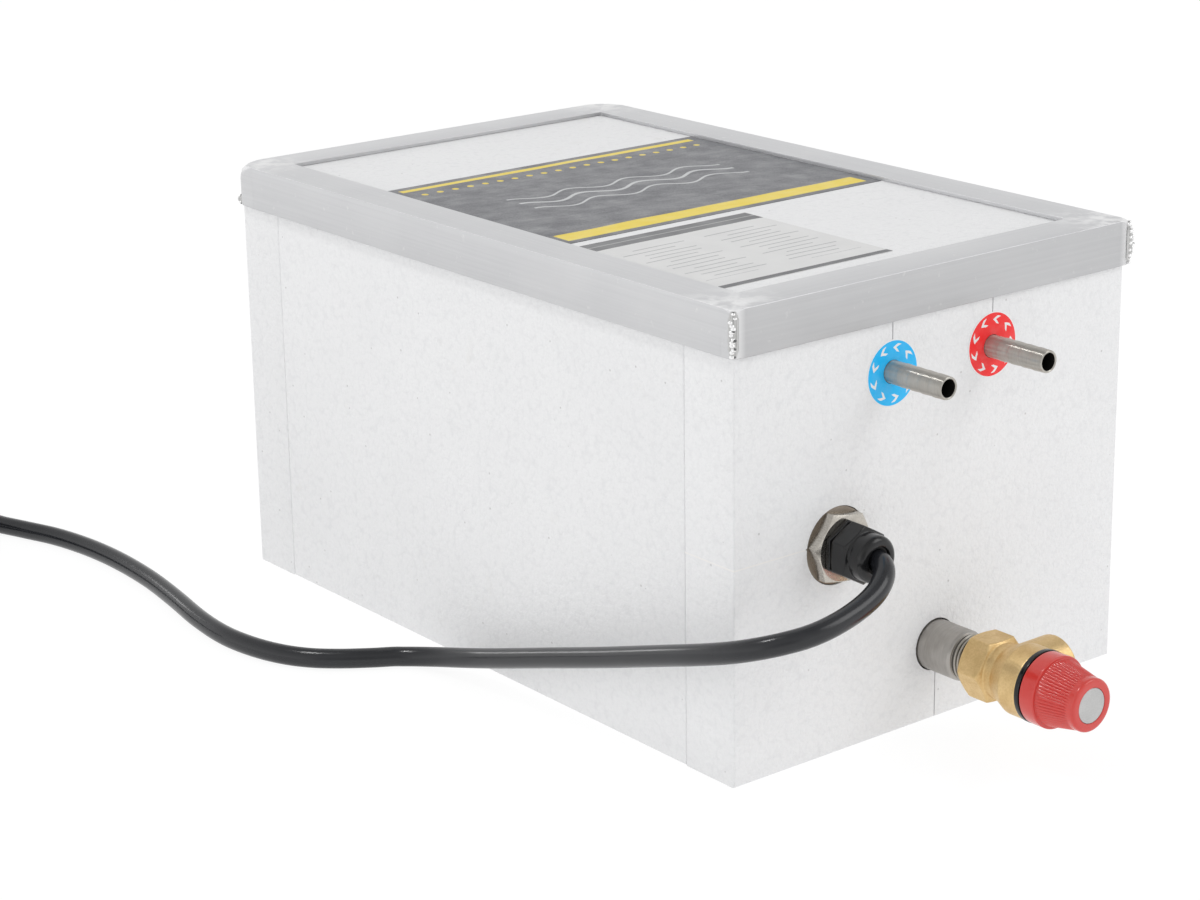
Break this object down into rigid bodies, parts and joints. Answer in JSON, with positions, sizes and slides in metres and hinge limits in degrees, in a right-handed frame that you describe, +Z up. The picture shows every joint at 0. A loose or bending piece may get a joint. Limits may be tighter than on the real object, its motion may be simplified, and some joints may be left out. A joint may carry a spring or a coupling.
{
  "type": "caravan water heater",
  "caption": "Small electric water heater for a caravan: foam-boxed tank under an aluminium angle frame, with hose tails, screw-in heater, relief valve and supply lead.",
  "frame": {"origin": "centre of the foam base, on the surface that the heater stands on", "axes": "-Y is the way the face with the fittings looks, +X is to the right of someone who looks at that face, +Z is up"},
  "size_m": [0.4501, 0.6424, 0.2],
  "materials": {
    "foam": "matt, fine beads",
    "aluminium": "satin, drawn along its length",
    "weld": "bright",
    "grey_film": "satin print",
    "white_film": "satin print",
    "blue_film": "satin print",
    "red_film": "satin print",
    "stainless": "satin",
    "bright_steel": "bright",
    "seal_rubber": "matt",
    "element_sheath": "dull",
    "brass": "satin",
    "cast_brass": "sand cast, machined on the hexagon",
    "white_ceramic": "glazed",
    "black_nylon": "smooth moulded",
    "cable_black": "satin",
    "spring_steel": "bright",
    "red_plastic": "gloss moulded",
    "silver_disc": "satin",
    "tie_fabric": "woven",
    "plug_black": "fine moulded grain",
    "plated_pins": "nickel plate"
  },
  "bodies": {
    "case": {"front_panel": "foam", "back_panel": "foam", "left_panel": "foam", "right_panel": "foam", "top_panel": "foam", "bottom_panel": "foam", "frame_rail_front": "aluminium", "frame_rail_back": "aluminium", "frame_rail_left": "aluminium", "frame_rail_right": "aluminium", "corner_welds": "weld", "top_label": "grey_film", "data_label": "white_film", "cold_ring_label": "blue_film", "hot_ring_label": "red_film", "tank_shell": "stainless", "tank_front_end": "stainless", "tank_rear_end": "stainless", "cold_pipe": "bright_steel", "hot_pipe": "bright_steel", "relief_pipe": "stainless", "heater_socket": "stainless", "heater_gasket": "seal_rubber", "heater_head": "bright_steel", "heater_element": "element_sheath", "thermostat_probe": "brass", "thermostat": "white_ceramic", "gland_body": "black_nylon", "gland_seal": "seal_rubber", "gland_nut": "black_nylon", "cable_tail": "cable_black", "valve_body": "cast_brass", "valve_bonnet": "black_nylon", "spindle_seal": "seal_rubber", "valve_spring": "spring_steel", "cord_free": "cable_black", "cord_coil": "cable_black", "coil_tie": "tie_fabric", "plug_body": "plug_black", "plug_pins": "plated_pins", "plug_earth_clips": "brass"},
    "spindle": {"valve_spindle": "brass", "valve_seat_disc": "seal_rubber", "spindle_nut": "stainless"},
    "knob": {"valve_knob": "red_plastic", "knob_insert": "silver_disc"}
  },
  "joints": [
    {"name": "relief_lift", "type": "slide", "parent": "case", "child": "spindle", "axis": [0, -1, 0], "range_m": [0, 0.00161], "deforming": ["valve_spring"]},
    {"name": "knob_turn", "type": "hinge", "parent": "spindle", "child": "knob", "pos_m": [0.0018, -0.254, 0.0333], "axis": [0, -1, 0], "range_deg": [0, 80]}
  ],
  "couplings": [
    {"joint": "relief_lift", "follows": "knob_turn", "m_per_rad": 0.0011459}
  ]
}
